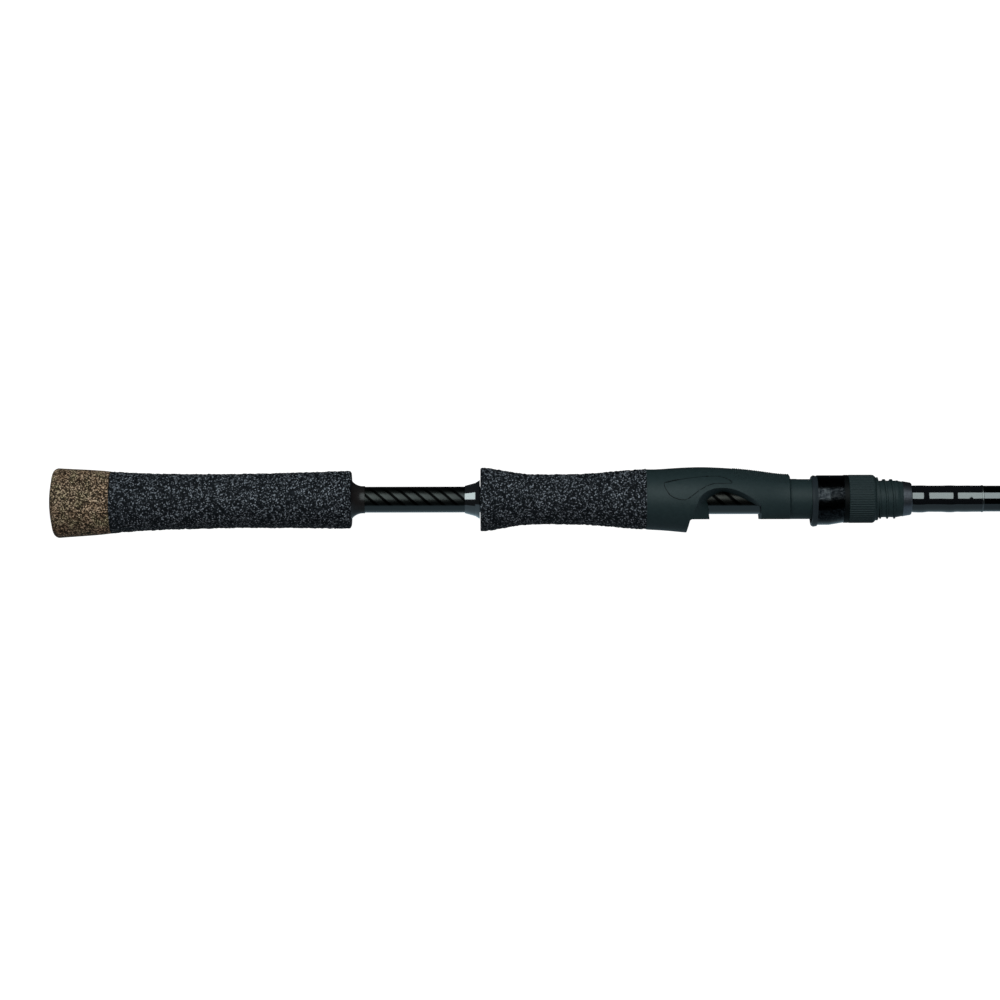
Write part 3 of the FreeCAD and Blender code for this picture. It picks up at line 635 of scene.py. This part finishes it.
# painted highlight: the crown of each turn is given a lighter colour than the hollow between turns
winding_finish.into(
    "Base Color",
    winding_finish.mix(painted_crown_highlight, (0.001, 0.001, 0.0012), (0.004, 0.004, 0.005)),
)
wound = [node for node in nodes if "wrap" in node or node == "label_band"]
for node in wound:
    dress(nodes[node], winding_finish)
print(len(wound), "windings")

# %% [markdown]
# ## Turning the film
# The film is turned in three lengths that meet, each in place of one winding. Its outside
# is then moved, vertex by vertex: a little thicker on the underside, as epoxy is that sags
# before it sets, and about a hundredth of a millimetre uneven by a slow noise.

# %% Epoxy film
UNDER_FILM = 0.01 * MM
FILM_BASE = 0.04 * MM
FILM_STEP = 0.15 * MM
FILM_STEPS = 96
TRIM_GAP = 0.02 * MM
SAG = 0.4
UNEVEN = 0.015 * MM
UNEVEN_SPAN = 3.5 * MM

wraps = ["front_wrap_1", "label_band", "front_wrap_2"]
ends = [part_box(node)[0].x for node in wraps] + [FILM_END - TRIM_GAP]
inner = BLANK_R + UNDER_FILM
for node, start, end in zip(wraps, ends, ends[1:]):
    outer = [(x, BLANK_R + FILM_BASE + film(x)) for x in even(start, end, FILM_STEP)]
    profile = [(start, inner), *outer, (end, inner), (start, inner)]
    coat = lathe(node + "_film", profile, FILM_STEPS)
    for vertex in coat.data.vertices:
        away = Vector((0, vertex.co.y, vertex.co.z))
        if away.length > inner + FILM_BASE / 2:
            sag = -SAG * film(vertex.co.x) * vertex.co.z / BLANK_R
            uneven = UNEVEN * noise.noise(vertex.co / UNEVEN_SPAN)
            vertex.co += away.normalized() * (sag + uneven)
    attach(coat, "rod")
    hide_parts(node)
    dress(coat, winding_finish)
    print(coat.name, "from", round(start / MM, 1), "to", round(end / MM, 1), "mm")

# %% [markdown]
# ## Trim, guides and rings
# A few turns of metallic thread close the varnish. The guides are bent from dark polished
# wire and hold ceramic rings, ground smooth so that they don't wear the line.

# %% Trim and guide finishes
trim_finish = Finish("trim_thread", Roughness=0.3, Metallic=1.0)
trim_finish.into(
    "Base Color",
    trim_finish.mix(trim_finish.noise(4000.0), (0.05, 0.05, 0.05), (0.13, 0.13, 0.13)),
)
dress(nodes["trim_band"], trim_finish)

guide_metal = Finish("guide_metal", Roughness=0.22, Metallic=1.0)
guide_metal.into(
    "Base Color",
    guide_metal.mix(guide_metal.noise(900.0), (0.05, 0.052, 0.058), (0.08, 0.083, 0.09)),
)
ceramic = Finish("guide_ceramic", Roughness=0.08, Coat_Weight=0.5)
ceramic.into(
    "Base Color",
    ceramic.mix(ceramic.noise(1200.0), (0.01, 0.011, 0.013), (0.02, 0.021, 0.024)),
)
for node in nodes:
    if node.endswith("_frame"):
        dress(nodes[node], guide_metal)
    elif node.endswith("_ring") and node.startswith(("guide", "tip")):
        dress(nodes[node], ceramic)
print("guides and tip top:", sum(node.endswith("_frame") for node in nodes))

# %% [markdown]
# ## Floor
# A wide sheet of white paper lies just under the guides. It glows a little, so that it is
# as white as the surround, and it is left out of reflections and of bounced light.

# %% Floor
FLOOR_Z = cad_box[0].z - 0.002
PAPER_HALF = 30.0
PAPER_GLOW = 0.75

work = bmesh.new()
bmesh.ops.create_grid(work, x_segments=1, y_segments=1, size=PAPER_HALF)
bmesh.ops.translate(work, verts=work.verts[:], vec=(0, 0, FLOOR_Z))
floor_mesh = bpy.data.meshes.new("floor")
work.to_mesh(floor_mesh)
work.free()
floor = bpy.data.objects.new("floor", floor_mesh)
bpy.context.scene.collection.objects.link(floor)
paper = Finish("white_paper", Roughness=0.9, Base_Color=(0.8, 0.8, 0.8, 1.0))
paper.shader.inputs["Emission Color"].default_value = (1.0, 1.0, 1.0, 1.0)
paper.shader.inputs["Emission Strength"].default_value = PAPER_GLOW
dress(floor, paper)
floor.visible_diffuse = False
floor.visible_glossy = False
print("floor at", round(FLOOR_Z / MM, 1), "mm")

# %% [markdown]
# ## Surround
# A dark glossy rod shows mostly what it reflects, so the surround is not one grey. Seen
# directly it is white. In reflections it is nearly black, but for a bluish card low down,
# which draws the lower band along the blank. For bounced light it is dim.

# %% Surround
SEEN = 1.1
BOUNCED = 0.4
BLACK_CLOTH = 0.02
CARD_SHINE = 0.58
CARD_TOP = math.radians(-50)
CARD_BLUE = (0.62, 0.87, 1.0, 1.0)

world = bpy.data.worlds.new("studio")
bpy.context.scene.world = world
world.use_nodes = True
sky = world.node_tree
background = sky.nodes["Background"]
path = sky.nodes.new("ShaderNodeLightPath")
direction = sky.nodes.new("ShaderNodeTexCoord")
split = sky.nodes.new("ShaderNodeSeparateXYZ")
sky.links.new(direction.outputs["Generated"], split.inputs["Vector"])


def sky_sum(operation, first, second=0.0):
    """One step of arithmetic among the surround's nodes."""
    node = sky.nodes.new("ShaderNodeMath")
    node.operation = operation
    for socket, value in zip(node.inputs, (first, second)):
        if isinstance(value, bpy.types.NodeSocket):
            sky.links.new(value, socket)
        else:
            socket.default_value = value
    return node.outputs[0]


# elevation, counted from the front of the rod: 0 is level and -90 degrees straight down
elevation = sky_sum("ARCTAN2", split.outputs["Z"], sky_sum("MULTIPLY", split.outputs["Y"], -1.0))
below = sky_sum("LESS_THAN", elevation, CARD_TOP)
glossy = sky_sum("ADD", BLACK_CLOTH, sky_sum("MULTIPLY", below, CARD_SHINE))
not_glossy = sky_sum("SUBTRACT", 1.0, path.outputs["Is Glossy Ray"])
diffuse = sky_sum("MULTIPLY", not_glossy, BOUNCED)
strength = sky_sum("ADD", diffuse, sky_sum("MULTIPLY", path.outputs["Is Glossy Ray"], glossy))
strength = sky_sum("MAXIMUM", strength, sky_sum("MULTIPLY", path.outputs["Is Camera Ray"], SEEN))
sky.links.new(strength, background.inputs["Strength"])
card = sky.nodes.new("ShaderNodeMix")
card.data_type = "RGBA"
sky.links.new(path.outputs["Is Glossy Ray"], card.inputs["Factor"])
card.inputs[6].default_value = (1.0, 1.0, 1.0, 1.0)
card.inputs[7].default_value = CARD_BLUE
sky.links.new(card.outputs[2], background.inputs["Color"])
print("the surround has", len(sky.nodes), "nodes")

# %% [markdown]
# ## Lights
# A soft box stands in front and above. Its right edge is placed with care: slopes of the
# epoxy film that tip past it go dark. A strip to its left is seen only in reflections, and
# gives the cone of the front check its glint.

# %% Lights
SOFTBOX_X = 0.15
SOFTBOX_FAR = 1.7
SOFTBOX_UP = math.radians(28.0)
SOFTBOX_SIZE = (1.1, 1.7)
STRIP_WIDTH = 1.2
STRIP_GAP = 0.02
RADIANCE = 7.5

box_data = bpy.data.lights.new("softbox", "AREA")
box_data.shape = "RECTANGLE"
box_data.size, box_data.size_y = SOFTBOX_SIZE
box_data.energy = RADIANCE * math.pi * box_data.size * box_data.size_y
box_data.color = (0.86, 1.0, 1.0)
softbox = bpy.data.objects.new("softbox", box_data)
bpy.context.scene.collection.objects.link(softbox)
softbox.location = (
    SOFTBOX_X,
    -SOFTBOX_FAR * math.cos(SOFTBOX_UP),
    SOFTBOX_FAR * math.sin(SOFTBOX_UP),
)
softbox.rotation_euler = (math.pi / 2 - SOFTBOX_UP, 0.0, 0.0)
softbox.visible_camera = False

strip_data = box_data.copy()
strip_data.size = STRIP_WIDTH
strip_data.energy = RADIANCE * math.pi * strip_data.size * strip_data.size_y
strip = bpy.data.objects.new("strip", strip_data)
bpy.context.scene.collection.objects.link(strip)
strip.location = softbox.location
strip.location.x -= (box_data.size + strip_data.size) / 2 + STRIP_GAP
strip.rotation_euler = softbox.rotation_euler
strip.visible_camera = False
strip.visible_diffuse = False
print("soft box:", round(box_data.energy, 1), "W, strip:", round(strip_data.energy, 1), "W")

# %% [markdown]
# ## Camera
# The handle is seen square from its side, from about a metre and a half away, so that it
# shows little perspective. The camera is turned a tenth of a degree about its own line of
# sight and stands a fifth of a millimetre low, to put the handle where it is wanted.

# %% Camera
HANDLE = Vector((0.1913, 0.0, 0.0))
DISTANCE = 1.466
LOWERED = 0.22 * MM
ROLL = math.radians(0.105)
WIDTH = 0.425
SENSOR = 36.0

camera_data = bpy.data.cameras.new("camera")
camera_data.sensor_width = SENSOR
camera_data.lens = SENSOR * DISTANCE / WIDTH
camera = bpy.data.objects.new("camera", camera_data)
bpy.context.scene.collection.objects.link(camera)
camera.location = HANDLE + Vector((0, -DISTANCE, -LOWERED))
camera.rotation_euler = (math.pi / 2, ROLL, 0)
bpy.context.scene.camera = camera
bpy.context.scene.view_settings.view_transform = "Standard"
print("lens:", round(camera_data.lens, 1), "mm")
